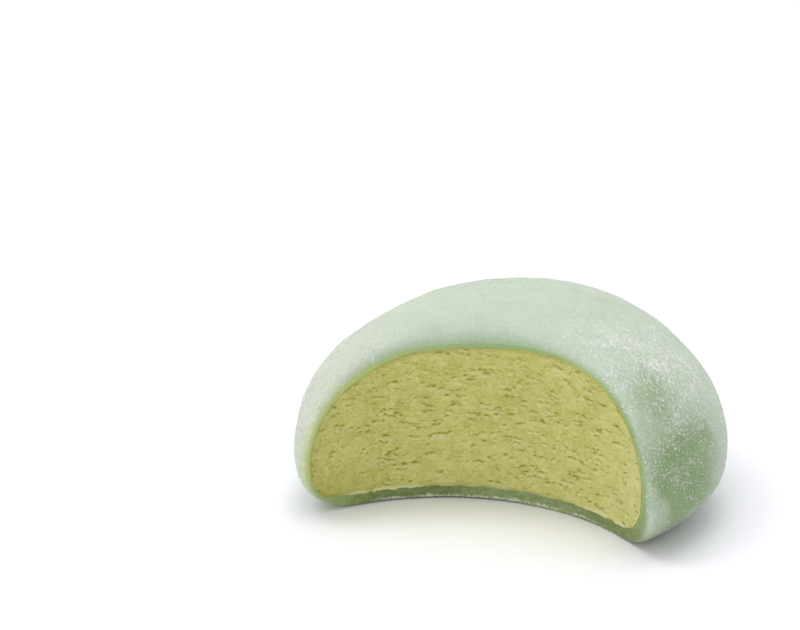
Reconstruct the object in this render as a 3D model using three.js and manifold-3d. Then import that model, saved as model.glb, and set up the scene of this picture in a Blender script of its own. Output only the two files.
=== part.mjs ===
// A filled rice cake: a soft round skin of pounded rice around a frozen cream filling, with one side
// cut away by a round upright scoop, so that the filling shows in a hollow face.
//
// Millimetres, +Z up. The cake rests on the flat foot of its skin at z = 0, the cut side faces -Y, and
// the origin is under the middle of the bounding box. The body is a superellipsoid whose widest girth
// lies low. Its lower part is smaller, and its top leans back a little.

import * as THREE from 'three';
import { mergeVertices } from 'three/addons/utils/BufferGeometryUtils.js';
import Module from 'manifold-3d';

const wasm = await Module();
wasm.setup();

// ---------------------------------------------------------------- driving dimensions

const HALF_WIDTH = 23.05; // at the widest girth, along X
const DEPTH_RATIO = 1.015; // half depth over half width, along Y
const HEIGHT = 21.8;
const GIRTH_HEIGHT = 6.75; // height of the widest girth
const ROUNDNESS = 2.335; // exponent of the superellipse, 2 for an ellipse
const FOOT_RATIO = 0.75; // half width of the foot over half width of the girth
const FOOT_ROUNDING = 1.2; // width over which the foot blends into the side
const AXIS = { x: -0.48, y: -5.91 }; // where the axis of the body stands
const TOP_LEAN = { x: -0.05, y: 3.6 }; // how far the top stands off that axis

// Places where the soft body swells out of that form or sinks in, measured from its axis.
const SWELLING_REACH = 9.0;
const SWELLINGS = [
  { at: [-22.0, 2.0, 8.0], height: -0.25 },
  { at: [-15.5, 6.0, 17.0], height: -0.85 },
  { at: [14.0, 10.0, 17.5], height: -1.0 },
  { at: [22.5, 4.0, 8.0], height: 0.8 },
];

const SIDE_SKIN = 1.1; // thickness of the skin at the side
const TOP_SKIN = 2.5;
const FOOT_SKIN = 1.6;
const GAP = 0.3; // clearance between skin and filling
const INNER_FOOT_ROUNDING = 1.5;

// Places where the skin is thicker than that, or thinner, measured from the axis.
const THICKENING_REACH = 6.0;
const THICKENINGS = [
  { at: [-2.5, -4.2, 19.5], height: 0.8 },
  { at: [9.5, -2.2, 16.5], height: -0.7 },
  { at: [17.0, -6.7, 2.5], height: 1.8 },
];

// The scoop is an upright cylinder whose wall leans forward towards the top.
const SCOOP = { radius: 21.65, x: AXIS.x + 1.54, y: AXIS.y - 21.75, lean: -0.13 };

// The rim of the skin: a soft round lip over the top and sides, a sharp edge along the foot. The
// reach is how far back over the outside the lip's rounding starts.
const LIP_REACH = { top: 2.4, left: 1.3, right: 1.6, foot: 0.3 };
const LIP_SHARE = 0.8; // share of the cut edge that the rounding takes
const LIP_FOOT = { from: -0.75, to: -0.1 }; // sine of the angle about CORE, from foot to side
const LIP_TOP = { from: 0.2, to: 0.9 }; // and from side to top

// Air pits of the frozen cream, the larger ones only: flat ellipsoids sunk in the cut face.
const PITS = { count: 22, seed: 4171, margin: 1.8 };
const PIT_HALF_LENGTH = [0.3, 0.65];
const PIT_HALF_HEIGHT = [0.1, 0.16];
const PIT_DEPTH = [0.2, 0.35];
const PIT_TILT = 0.22; // radians, either way

// The line through the body that the meshes are laid around. It runs along Y.
const CORE = { x: AXIS.x + 0.8, y: AXIS.y + 8.5, z: 8.5 };
const AROUND = 64; // points around that line
const OUTER_ROWS = 20; // from the back to the lip
const INNER_ROWS = 11;
const LIP_ROWS = 5;
const FACE_ROWS = 9;
const SEARCH_STEPS = 40; // halvings when a surface is searched along a ray
const SEARCH_REACH = 45.0;

// ---------------------------------------------------------------- form of the body

function smoothStep(low, high, value) {
  const t = THREE.MathUtils.clamp((value - low) / (high - low), 0, 1);
  return t * t * (3 - 2 * t);
}

function smoothMax(a, b, width) {
  const blend = Math.max(width - Math.abs(a - b), 0) / width;
  return Math.max(a, b) + (blend * blend * width) / 4;
}

// The sum at a point of soft round bumps, each with its place and height.
function bumps(places, reach, x, y, z) {
  let total = 0;
  for (const { at, height } of places) {
    const square = (x - AXIS.x - at[0]) ** 2 + (y - AXIS.y - at[1]) ** 2 + (z - at[2]) ** 2;
    total += height * Math.exp(-square / reach ** 2);
  }
  return total;
}

// Distance, roughly, from a point to the dome: negative inside. The insets make a smaller dome, and
// the sink takes more off it at that point.
function domeDistance(x, y, z, sideInset, topInset, sink) {
  const acrossX = x - AXIS.x - (TOP_LEAN.x * z) / HEIGHT;
  const acrossY = (y - AXIS.y - (TOP_LEAN.y * z) / HEIGHT) / DEPTH_RATIO;
  const swelling = bumps(SWELLINGS, SWELLING_REACH, x, y, z);
  const halfWidth = HALF_WIDTH - sideInset + swelling - sink;
  const upperReach = HEIGHT - topInset - GIRTH_HEIGHT;
  const lowerReach = GIRTH_HEIGHT / (1 - FOOT_RATIO ** ROUNDNESS) ** (1 / ROUNDNESS);
  const reach = z > GIRTH_HEIGHT ? upperReach : lowerReach;
  const girth = Math.hypot(acrossX, acrossY) / halfWidth;
  const rise = (Math.abs(z - GIRTH_HEIGHT) / reach) * (HALF_WIDTH - sideInset) / halfWidth;
  const level = (girth ** ROUNDNESS + rise ** ROUNDNESS) ** (1 / ROUNDNESS);
  return (level - 1) * HALF_WIDTH;
}

function outerSurface(x, y, z) {
  return smoothMax(domeDistance(x, y, z, 0, 0, 0), -z, FOOT_ROUNDING);
}

// The inside of the skin, or with the gap the outside of the filling.
function innerSurface(gap) {
  return (x, y, z) => {
    const thickening = bumps(THICKENINGS, THICKENING_REACH, x, y, z);
    const dome = domeDistance(x, y, z, SIDE_SKIN + gap, TOP_SKIN + gap, thickening);
    return smoothMax(dome, FOOT_SKIN + gap - z, INNER_FOOT_ROUNDING);
  };
}

// The Y of the cut at a place across and up. Past the scoop's sides it lies in front of the body.
function cutY(x, z) {
  const square = SCOOP.radius ** 2 - (x - SCOOP.x) ** 2;
  return SCOOP.y + Math.sqrt(Math.max(square, 0)) + SCOOP.lean * z;
}

// ---------------------------------------------------------------- points on the surfaces

// Where a ray from CORE meets a surface. turn goes around the line through CORE, and tilt goes from
// the back, along +Y, to the front.
function surfacePoint(surface, turn, tilt) {
  const ray = new THREE.Vector3(
    Math.cos(turn) * Math.sin(tilt),
    Math.cos(tilt),
    Math.sin(turn) * Math.sin(tilt),
  );
  let inside = 0;
  let outside = SEARCH_REACH;
  for (let step = 0; step < SEARCH_STEPS; step += 1) {
    const reach = (inside + outside) / 2;
    const within = surface(CORE.x + ray.x * reach, CORE.y + ray.y * reach, CORE.z + ray.z * reach) < 0;
    inside = within ? reach : inside;
    outside = within ? outside : reach;
  }
  return ray.multiplyScalar(inside).add(new THREE.Vector3(CORE.x, CORE.y, CORE.z));
}

// The largest tilt for which a test of the surface's point still holds.
function lastTilt(surface, turn, low, high, holds) {
  let good = low;
  let bad = high;
  for (let step = 0; step < SEARCH_STEPS; step += 1) {
    const tilt = (good + bad) / 2;
    const held = holds(surfacePoint(surface, turn, tilt));
    good = held ? tilt : good;
    bad = held ? bad : tilt;
  }
  return good;
}

const behindCut = (point) => point.y > cutY(point.x, point.z);

function rimTilt(surface, turn) {
  return lastTilt(surface, turn, 0.1, Math.PI - 0.05, behindCut);
}

function onCut(point) {
  return new THREE.Vector3(point.x, cutY(point.x, point.z), point.z);
}

// Points from the back to the end tilt, without the back's own point.
function rowsOverSurface(surface, turn, endTilt, count) {
  const points = [];
  for (let row = 1; row <= count; row += 1) {
    points.push(surfacePoint(surface, turn, (endTilt * row) / count));
  }
  return points;
}

// A quadratic curve that rounds a corner, without its two ends.
function roundedCorner(start, corner, end, count) {
  const curve = new THREE.QuadraticBezierCurve3(start, corner, end);
  return curve.getPoints(count).slice(1, -1);
}

// ---------------------------------------------------------------- closed meshes

// A closed mesh from one list of points for each turn. Each list runs from the first pole to the
// second, which all turns share.
function closedMesh(firstPole, sections, secondPole) {
  const around = sections.length;
  const rows = sections[0].length;
  const points = [firstPole, ...sections.flat(), secondPole];
  const at = (turn, row) => 1 + (turn % around) * rows + row;
  const last = points.length - 1;
  const faces = [];
  for (let turn = 0; turn < around; turn += 1) {
    faces.push(0, at(turn + 1, 0), at(turn, 0));
    for (let row = 0; row + 1 < rows; row += 1) {
      faces.push(at(turn, row), at(turn + 1, row), at(turn, row + 1));
      faces.push(at(turn + 1, row), at(turn + 1, row + 1), at(turn, row + 1));
    }
    faces.push(at(turn, rows - 1), at(turn + 1, rows - 1), last);
  }
  const geometry = new THREE.BufferGeometry();
  geometry.setAttribute('position', new THREE.Float32BufferAttribute(points.flatMap((p) => [p.x, p.y, p.z]), 3));
  geometry.setIndex(faces);
  return geometry;
}

function turns() {
  return Array.from({ length: AROUND }, (_, index) => (index / AROUND) * 2 * Math.PI);
}

// ---------------------------------------------------------------- the skin

// How far back over the outside the lip's rounding starts, at a turn.
function lipReach(turn) {
  const side = Math.cos(turn) < 0 ? LIP_REACH.left : LIP_REACH.right;
  const offFoot = smoothStep(LIP_FOOT.from, LIP_FOOT.to, Math.sin(turn));
  const onTop = smoothStep(LIP_TOP.from, LIP_TOP.to, Math.sin(turn));
  const aboveFoot = THREE.MathUtils.lerp(side, LIP_REACH.top, onTop);
  return THREE.MathUtils.lerp(LIP_REACH.foot, aboveFoot, offFoot);
}

// One section of the skin: the outside from the back to the lip, the rounded lip, the cut edge and
// the inside back to the back.
function skinSection(turn) {
  const inside = innerSurface(0);
  const corner = surfacePoint(outerSurface, turn, rimTilt(outerSurface, turn));
  const innerTilt = rimTilt(inside, turn);
  const innerCorner = surfacePoint(inside, turn, innerTilt);
  const reach = lipReach(turn);
  const beforeLip = (point) => behindCut(point) && point.distanceTo(corner) > reach;
  const lipTilt = lastTilt(outerSurface, turn, 0.1, Math.PI - 0.05, beforeLip);
  const lipStart = surfacePoint(outerSurface, turn, lipTilt);
  const edge = corner.distanceTo(innerCorner);
  const share = Math.min(reach / edge, LIP_SHARE);
  const lipEnd = onCut(corner.clone().lerp(innerCorner, share));
  return [
    ...rowsOverSurface(outerSurface, turn, lipTilt, OUTER_ROWS),
    ...roundedCorner(lipStart, corner, lipEnd, LIP_ROWS),
    lipEnd,
    ...rowsOverSurface(inside, turn, innerTilt, INNER_ROWS).reverse(),
  ];
}

function skinGeometry() {
  const backOutside = surfacePoint(outerSurface, 0, 0);
  const backInside = surfacePoint(innerSurface(0), 0, 0);
  return closedMesh(backOutside, turns().map(skinSection), backInside);
}

// ---------------------------------------------------------------- the filling

// One section of the filling: the outside from the back to the cut, then the face to its middle.
function fillingSection(turn) {
  const outside = innerSurface(GAP);
  const endTilt = rimTilt(outside, turn);
  const corner = surfacePoint(outside, turn, endTilt);
  const middle = new THREE.Vector3(CORE.x, 0, CORE.z);
  const face = [];
  for (let row = 1; row < FACE_ROWS; row += 1) {
    face.push(onCut(corner.clone().lerp(middle, row / FACE_ROWS)));
  }
  return [...rowsOverSurface(outside, turn, endTilt, INNER_ROWS), ...face];
}

function fillingBody() {
  const back = surfacePoint(innerSurface(GAP), 0, 0);
  const middle = onCut(new THREE.Vector3(CORE.x, 0, CORE.z));
  return closedMesh(back, turns().map(fillingSection), middle);
}

// A small repeatable random draw between 0 and 1.
function drawFrom(seed) {
  let state = seed;
  return () => {
    state = (state * 16807) % 2147483647;
    return state / 2147483647;
  };
}

const between = (range, draw) => range[0] + (range[1] - range[0]) * draw;

// One pit: an ellipsoid centred on the face, lying along it.
function pitGeometry(x, z, draw) {
  const length = between(PIT_HALF_LENGTH, draw());
  const height = between(PIT_HALF_HEIGHT, draw());
  const depth = between(PIT_DEPTH, draw());
  const tilt = between([-PIT_TILT, PIT_TILT], draw());
  const facing = Math.asin((SCOOP.x - x) / SCOOP.radius);
  const pit = new THREE.SphereGeometry(1, 8, 6);
  pit.scale(length, depth, height);
  pit.rotateY(tilt);
  pit.rotateZ(facing);
  pit.translate(x, cutY(x, z), z);
  return pit;
}

// The pits lie anywhere on the face that is clear of its edge by the margin.
function pitGeometries() {
  const draw = drawFrom(PITS.seed);
  const outside = innerSurface(GAP);
  const pits = [];
  while (pits.length < PITS.count) {
    const x = SCOOP.x + (2 * draw() - 1) * SCOOP.radius * 0.9;
    const z = draw() * HEIGHT;
    if (outside(x, cutY(x, z), z) < -PITS.margin) {
      pits.push(pitGeometry(x, z, draw));
    }
  }
  return pits;
}

// ---------------------------------------------------------------- cutting

function toSolid(geometry) {
  const bare = geometry.clone();
  bare.deleteAttribute('normal');
  bare.deleteAttribute('uv');
  const merged = mergeVertices(bare, 1e-5);
  return new wasm.Manifold(new wasm.Mesh({
    numProp: 3,
    vertProperties: new Float32Array(merged.attributes.position.array),
    triVerts: new Uint32Array(merged.index.array),
  }));
}

function toGeometry(solid) {
  const mesh = solid.getMesh();
  const geometry = new THREE.BufferGeometry();
  geometry.setAttribute('position', new THREE.Float32BufferAttribute(mesh.vertProperties, 3));
  geometry.setIndex(Array.from(mesh.triVerts));
  return geometry;
}

function fillingGeometry() {
  let body = toSolid(fillingBody());
  for (const pit of pitGeometries()) {
    body = body.subtract(toSolid(pit));
  }
  return toGeometry(body);
}

// ---------------------------------------------------------------- the scene graph

function part(name, geometry, colour, roughness) {
  geometry.computeVertexNormals();
  const material = new THREE.MeshStandardMaterial({ color: colour, roughness, metalness: 0 });
  const mesh = new THREE.Mesh(geometry, material);
  mesh.name = name;
  return mesh;
}

const group = new THREE.Group();
group.add(part('mochi_skin', skinGeometry(), 0xb9d3bb, 0.75));
group.add(part('cream_filling', fillingGeometry(), 0xb9b667, 0.8));

export default group;
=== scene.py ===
"""The looks of a filled rice cake: its starched skin, the scooped face of its frozen cream and the studio."""

import itertools
import math

import bpy
import numpy as np
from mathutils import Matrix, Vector


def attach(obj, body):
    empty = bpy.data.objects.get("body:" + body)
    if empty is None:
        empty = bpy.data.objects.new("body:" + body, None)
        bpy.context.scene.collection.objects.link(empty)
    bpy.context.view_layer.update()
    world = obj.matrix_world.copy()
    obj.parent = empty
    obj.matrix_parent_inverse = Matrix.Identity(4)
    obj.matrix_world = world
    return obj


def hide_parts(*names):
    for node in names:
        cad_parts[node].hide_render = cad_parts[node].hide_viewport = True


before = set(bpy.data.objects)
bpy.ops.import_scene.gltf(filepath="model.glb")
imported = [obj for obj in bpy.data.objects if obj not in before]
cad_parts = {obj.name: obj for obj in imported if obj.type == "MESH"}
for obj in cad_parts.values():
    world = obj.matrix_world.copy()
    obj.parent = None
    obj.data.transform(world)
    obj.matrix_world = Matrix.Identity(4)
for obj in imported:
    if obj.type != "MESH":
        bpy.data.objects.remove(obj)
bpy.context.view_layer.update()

# ---- sizes in millimetres, as in the part

MM = 0.001
HALF_WIDTH = 23.05
DEPTH_RATIO = 1.015
HEIGHT = 21.8
GIRTH_HEIGHT = 6.75
ROUNDNESS = 2.335
FOOT_RATIO = 0.75
FOOT_ROUNDING = 1.2
AXIS = np.array([-0.48, -5.91, 0.0])
TOP_LEAN = np.array([-0.05, 3.6])
SWELLING_REACH = 9.0
SWELLINGS = (
    ((-22.0, 2.0, 8.0), -0.25),
    ((-15.5, 6.0, 17.0), -0.85),
    ((14.0, 10.0, 17.5), -1.0),
    ((22.5, 4.0, 8.0), 0.8),
)
SIDE_SKIN = 1.1
TOP_SKIN = 2.5
FOOT_SKIN = 1.6
GAP = 0.3
INNER_FOOT_ROUNDING = 1.5
THICKENING_REACH = 6.0
THICKENINGS = (
    ((-2.5, -4.2, 19.5), 0.8),
    ((9.5, -2.2, 16.5), -0.7),
    ((17.0, -6.7, 2.5), 1.8),
)
SCOOP_RADIUS = 21.65
SCOOP_X = AXIS[0] + 1.54
SCOOP_Y = AXIS[1] - 21.75
SCOOP_LEAN = -0.13
LIP_REACH_TOP = 2.4
LIP_REACH_LEFT = 1.3
LIP_REACH_RIGHT = 1.6
LIP_REACH_FOOT = 0.3
LIP_SHARE = 0.8
LIP_FOOT = (-0.75, -0.1)
LIP_TOP = (0.2, 0.9)

# The larger pits of the face, drawn as in the part.
PIT_COUNT = 22
PIT_SEED = 4171
PIT_SPREAD = 0.9
PIT_MARGIN = 1.8
DRAW_FACTOR = 16807
DRAW_MODULUS = 2147483647

# Limits of their half length, half height, depth and tilt.
PIT_LIMITS = ((0.3, 0.65), (0.1, 0.16), (0.2, 0.35), (-0.22, 0.22))

# Surfaces are searched along rays from CORE and, over them, by tilts between these two.
CORE = AXIS + np.array([0.8, 8.5, 8.5])
SEARCH_REACH = 45.0
SEARCH_STEPS = 30
SEARCH_TILTS = (0.1, math.pi - 0.05)

# ---- fineness of the meshes

SKIN_AROUND = 480
SKIN_OUTER_ROWS = 150
SKIN_LIP_ROWS = 18
SKIN_CUT_ROWS = 12
SKIN_INNER_ROWS = 10
FACE_COLUMNS = 345
FACE_ROWS = 225
FILLING_BACK_ROWS = 12

# ---- where the starch lies, in millimetres

# Places on the skin where the starch is thin: place, reach and how much of it is missing.
THIN_PATCHES = (
    ((17.0, -8.6, 17.0), 3.4, 0.55),
    ((18.1, -11.2, 15.4), 2.8, 0.35),
    ((21.0, -12.3, 9.6), 3.9, 0.95),
    ((22.3, -10.2, 6.0), 4.6, 0.9),
    ((22.0, -7.5, 12.0), 3.2, 0.35),
    ((20.8, -14.2, 6.2), 2.6, 0.25),
    ((-16.3, -15.0, 0.8), 3.4, 1.0),
    ((-18.7, -18.6, 6.4), 2.3, 0.25),
)

# Places where coarse grains gather: place, reach and how thickly they lie.
FROST_PATCHES = (
    ((20.8, -9.4, 13.6), 3.0, 1.7),
    ((20.0, -12.6, 11.6), 2.8, 0.6),
    ((20.9, -12.6, 6.3), 4.0, 0.4),
    ((18.9, -16.2, 8.0), 3.0, 0.6),
    ((22.9, -2.5, 9.5), 4.5, 0.7),
    ((19.0, -9.6, 14.2), 3.2, 0.6),
    ((14.0, -2.0, 19.3), 6.0, 0.35),
    ((-18.3, -15.5, 8.0), 7.0, 1.1),
    ((-15.0, -12.0, 15.5), 5.0, 0.5),
    ((-8.0, 6.0, 20.0), 7.0, 0.3),
    ((10.0, 14.0, 12.0), 7.0, 0.4),
    ((-19.0, 6.0, 8.0), 6.0, 0.5),
)

# The patches' outlines are shifted by noise of this size and number of layers, with a seed for each axis.
PATCH_SHIFT = 1.1
PATCH_NOISE = (3.0, 4)
PATCH_SEEDS = (201, 301, 401)

# The stretch of skin with long flakes: its middle, its reach and the way the flakes point.
FLAKE_PLACE = (15.0, -4.5, 18.6)
FLAKE_REACH = 5.8
FLAKE_COURSE = np.array([0.82, -0.5, -0.3])

# The turn that lays the X axis along the flakes, for the streaks of starch between them.
STREAK_TURN = (0.0, math.radians(-18.0), math.radians(31.0))

# ---- form of the body


def smooth_step(low, high, value):
    share = np.clip((value - low) / (high - low), 0, 1)
    return share * share * (3 - 2 * share)


def between(limits, share):
    return limits[0] + (limits[1] - limits[0]) * share


def smooth_max(a, b, width):
    blend = np.maximum(width - np.abs(a - b), 0) / width
    return np.maximum(a, b) + blend * blend * width / 4


def near(points, place, reach):
    """1 at a place, falling softly towards 0 around it."""
    return np.exp(-np.sum((points - np.array(place)) ** 2, axis=-1) / reach**2)


def bumps(points, places, reach):
    """The sum at each point of soft round bumps, each with its place from the axis and its height."""
    return sum(height * near(points - AXIS, place, reach) for place, height in places)


def dome_distance(points, side_inset=0.0, top_inset=0.0, sink=0.0):
    """Rough distance of each point from the dome, negative inside. Insets and sink make a smaller dome."""
    height = points[..., 2]
    across_x = points[..., 0] - AXIS[0] - TOP_LEAN[0] * height / HEIGHT
    across_y = (points[..., 1] - AXIS[1] - TOP_LEAN[1] * height / HEIGHT) / DEPTH_RATIO
    half_width = HALF_WIDTH - side_inset + bumps(points, SWELLINGS, SWELLING_REACH) - sink
    upper_reach = HEIGHT - top_inset - GIRTH_HEIGHT
    lower_reach = GIRTH_HEIGHT / (1 - FOOT_RATIO**ROUNDNESS) ** (1 / ROUNDNESS)
    reach = np.where(height > GIRTH_HEIGHT, upper_reach, lower_reach)
    girth = np.hypot(across_x, across_y) / half_width
    rise = np.abs(height - GIRTH_HEIGHT) / reach * (HALF_WIDTH - side_inset) / half_width
    level = (girth**ROUNDNESS + rise**ROUNDNESS) ** (1 / ROUNDNESS)
    return (level - 1) * HALF_WIDTH


def outer_surface(points):
    return smooth_max(dome_distance(points), -points[..., 2], FOOT_ROUNDING)


def inner_surface(gap=0.0):
    """The inside of the skin, or with a gap the outside of a smaller filling."""

    def distance(points):
        thickening = bumps(points, THICKENINGS, THICKENING_REACH)
        dome = dome_distance(points, SIDE_SKIN + gap, TOP_SKIN + gap, thickening)
        return smooth_max(dome, FOOT_SKIN + gap - points[..., 2], INNER_FOOT_ROUNDING)

    return distance


def cut_y(x, z):
    """The Y of the cut at places across and up."""
    square = SCOOP_RADIUS**2 - (x - SCOOP_X) ** 2
    return SCOOP_Y + np.sqrt(np.maximum(square, 0)) + SCOOP_LEAN * z


def on_cut(points):
    moved = points.copy()
    moved[..., 1] = cut_y(points[..., 0], points[..., 2])
    return moved


def behind_cut(points):
    return points[..., 1] > cut_y(points[..., 0], points[..., 2])


# ---- points on the surfaces


def farthest(good, bad, holds):
    """Closes in on the last values for which a test holds, between good ones and bad ones."""
    for _ in range(SEARCH_STEPS):
        middle = (good + bad) / 2
        held = holds(middle)
        good = np.where(held, middle, good)
        bad = np.where(held, bad, middle)
    return good


def surface_points(surface, turn, tilt):
    """Where rays from CORE meet a surface. turn goes round the line through CORE, tilt from back to front."""
    turn, tilt = np.broadcast_arrays(turn, tilt)
    ray = np.stack((np.cos(turn) * np.sin(tilt), np.cos(tilt), np.sin(turn) * np.sin(tilt)), axis=-1)

    def within(reach):
        return surface(CORE + ray * reach[..., None]) < 0

    reach = farthest(np.zeros(turn.shape), np.full(turn.shape, SEARCH_REACH), within)
    return CORE + ray * reach[..., None]


def last_tilt(surface, turn, holds):
    """The largest tilt at each turn for which a test of the surface's point still holds."""
    first, final = (np.full(turn.shape, tilt) for tilt in SEARCH_TILTS)
    return farthest(first, final, lambda tilt: holds(surface_points(surface, turn, tilt)))


# ---- repeatable noise

HASH_FACTORS = np.array([73856093, 19349663, 83492791])
HASH_SEED_FACTOR = 7919
HASH_FINAL_FACTOR = 1274126177
HASH_MASK = 0xFFFF
LAYER_SHIFT = 17.3


def hashed(cells, seed):
    """A repeatable number between -1 and 1 for each whole-numbered cell."""
    x, y, z = (cells * HASH_FACTORS).T
    mixed = x ^ y ^ z ^ (seed * HASH_SEED_FACTOR)
    mixed = (mixed ^ (mixed >> 13)) * HASH_FINAL_FACTOR
    mixed = mixed ^ (mixed >> 16)
    return (mixed & HASH_MASK) / (HASH_MASK / 2) - 1


def smooth_noise(points, seed):
    """Smooth noise between -1 and 1, with one cell to a unit."""
    cells = np.floor(points).astype(np.int64)
    share = points - cells
    share = share * share * (3 - 2 * share)
    total = np.zeros(len(points))
    for corner in itertools.product((0, 1), repeat=3):
        offset = np.array(corner)
        weight = np.prod(np.where(offset == 1, share, 1 - share), axis=1)
        total += weight * hashed(cells + offset, seed)
    return total


def layered_noise(points, size, layers, seed):
    """Layers of noise, each half the size and weight of the last. size is in millimetres."""
    total = 0.0
    weight = 1.0
    scale = np.asarray(size, float)
    for layer in range(layers):
        total = total + weight * smooth_noise(points / scale + LAYER_SHIFT * layer, seed + layer)
        scale = scale / 2
        weight = weight / 2
    return total


def clouds(points, noise, limits):
    """Layered noise, turned to 0 below the lower limit and 1 above the upper."""
    return smooth_step(*limits, layered_noise(points, *noise))


# ---- meshes

LEAST_LENGTH = 1e-12


def new_object(name, data):
    item = bpy.data.objects.new(name, data)
    bpy.context.scene.collection.objects.link(item)
    return item


def new_mesh(name, points, faces, attributes=None):
    """A smooth-shaded object from points in millimetres and blocks of faces, with named numbers by point."""
    mesh = bpy.data.meshes.new(name)
    faces = [face for block in faces for face in block.tolist()]
    mesh.from_pydata((np.asarray(points) * MM).tolist(), [], faces)
    mesh.shade_smooth()
    for key, values in (attributes or {}).items():
        mesh.attributes.new(key, "FLOAT", "POINT").data.foreach_set("value", np.asarray(values, np.float32))
    return new_object(name, mesh)


def unit(vectors):
    """Each vector brought to length 1."""
    return vectors / np.maximum(np.linalg.norm(vectors, axis=1, keepdims=True), LEAST_LENGTH)


def vertex_normals(faces, points):
    """The normal at each point, weighted by the area of its faces. faces hold three points each."""
    first, second, third = (points[faces[:, k]] for k in range(3))
    normal = np.cross(second - first, third - first)
    total = np.zeros_like(points)
    for k in range(3):
        np.add.at(total, faces[:, k], normal)
    return unit(total)


def closed(rows):
    """Rows of point numbers, with the first row once more behind the last."""
    return np.concatenate((rows, rows[:1]))


def grid_quads(index):
    """Quads between the neighbours in a grid of point numbers."""
    corners = (index[:-1, :-1], index[1:, :-1], index[1:, 1:], index[:-1, 1:])
    return np.stack(corners, axis=-1).reshape(-1, 4)


def fan(middle, edge):
    """Triangles from one point to each stretch of an edge."""
    return np.stack((np.full(len(edge) - 1, middle), edge[:-1], edge[1:]), axis=1)


# ---- the skin

# At the right of the foot the lip's rounding is smaller, between these cosines of the turn.
LIP_REACH_FOOT_RIGHT = 0.08
LIP_FOOT_RIGHT = (0.0, 0.5)

# The foot's edge is cut under by this much, less upwards and to the right.
UNDERCUT = 0.15
UNDERCUT_TOP = (0.05, 0.35)
UNDERCUT_END = (-3.0, 5.0)

# The torn edge of the skin stands over the cream by up to this much, but not low down.
RAGGEDNESS = 0.16
RAGGED_CLOUDS = ((0.9, 3, 111), (-0.3, 1.0))
RAGGED_HEIGHT = (2.5, 4.0)

# Dents, crust and grit of the skin: height and noise, which is given by size, layers and seed.
SKIN_RELIEF = ((0.16, (8.0, 2, 11)), (0.03, (1.4, 2, 23)), (0.012, (0.4, 1, 31)))
RELIEF_RISE = (0.1, 2.5)
LIP_RELIEF_SHARE = 0.35

# How much starch there is, how much is worn off behind the front, and how it thins out towards the foot.
COVER = 0.95
WORN = 0.24
WORN_CLOUDS = ((5.0, 5, 53), (0.1, 1.1))
WORN_FROM_FRONT = (-6.0, 2.0)
COVER_UNEVENNESS = 0.07
COVER_NOISE = (4.0, 3, 47)
COVER_AT_FOOT = 0.2
COVER_RISE = (0.2, 4.5)
LEAST_COVER = 0.1

# Parts of the rim, by the turn's cosine, which grows to the right, or its sine, which grows upwards.
SIDEWARDS = (0.1, 0.7)
OFF_FOOT = (-0.55, -0.2)
TOP_FROM_LEFT = (0.15, 0.7)
TOP_FROM_RIGHT = (0.55, 0.95)
HIGH_RIGHT = (0.2, 0.6)
FOOT_PART = (0.35, 0.6)
FOOT_EDGE_PART = (0.4, 0.6)

# Where on the lip's rounding the starch ends, over what share of it, and how bare the lip gets: in general,
# and what is added at the left, at the top, high at the right, low at the right and at the foot.
BARE_BEGIN = (0.45, 0.2, 0.15, 0.04, -0.1, -0.35)
BARE_WIDTH = (0.4, 0.2, 0.25, 0.2, 0.2, 0.0)
BARE_AMOUNT = (1.0, -0.3, 0.0, -0.1, -0.1, 0.0)

# The light through the edge beside the cream and its reach: in general, and what is added in the left half,
# at the very left and at the right.
GLOW_LEFT_HALF = (0.3, 0.8)
GLOW_VERY_LEFT = (0.82, 0.97)
GLOW_RIGHT = (0.1, 0.6)
GLOW_RISE = (-0.5, 0.0)
GLOW_RISE_SHIFT = 0.15
GLOW_STRENGTH = (0.35, 0.45, 0.0, 0.5)
GLOW_REACH = (1.0, 0.6, 0.6, 0.2)
GLOW_FALL = 1.3


def rising(count):
    """Shares from just above 0 up to 1."""
    return np.arange(1, count + 1) / count


def falling(count):
    """Shares from just below 1 to just above 0."""
    return 1 - np.arange(1, count + 1) / (count + 1)


def lip_reach(turn):
    """How far back over the outside the lip's rounding starts, at each turn."""
    side = np.where(np.cos(turn) < 0, LIP_REACH_LEFT, LIP_REACH_RIGHT)
    above_foot = between((side, LIP_REACH_TOP), smooth_step(*LIP_TOP, np.sin(turn)))
    foot = between((LIP_REACH_FOOT, LIP_REACH_FOOT_RIGHT), smooth_step(*LIP_FOOT_RIGHT, np.cos(turn)))
    return between((foot, above_foot), smooth_step(*LIP_FOOT, np.sin(turn)))


def lip_rows(start, corner, end):
    """The rounding of the lip, from the outside round the corner to the cut."""
    share = rising(SKIN_LIP_ROWS)[None, :, None]
    start, corner, end = start[:, None], corner[:, None], end[:, None]
    return (1 - share) ** 2 * start + 2 * share * (1 - share) * corner + share**2 * end


def cut_rows(lip_end, inner_corner):
    """The skin's strip of the cut, from the lip to its torn edge over the cream."""
    across = inner_corner - lip_end
    ragged = RAGGEDNESS * clouds(inner_corner, *RAGGED_CLOUDS)
    ragged = ragged * smooth_step(*RAGGED_HEIGHT, inner_corner[:, 2])
    share = rising(SKIN_CUT_ROWS)[None, :, None]
    rows = lip_end[:, None] + across[:, None] * share
    return on_cut(rows + (unit(across) * ragged[:, None])[:, None] * share**2)


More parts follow.
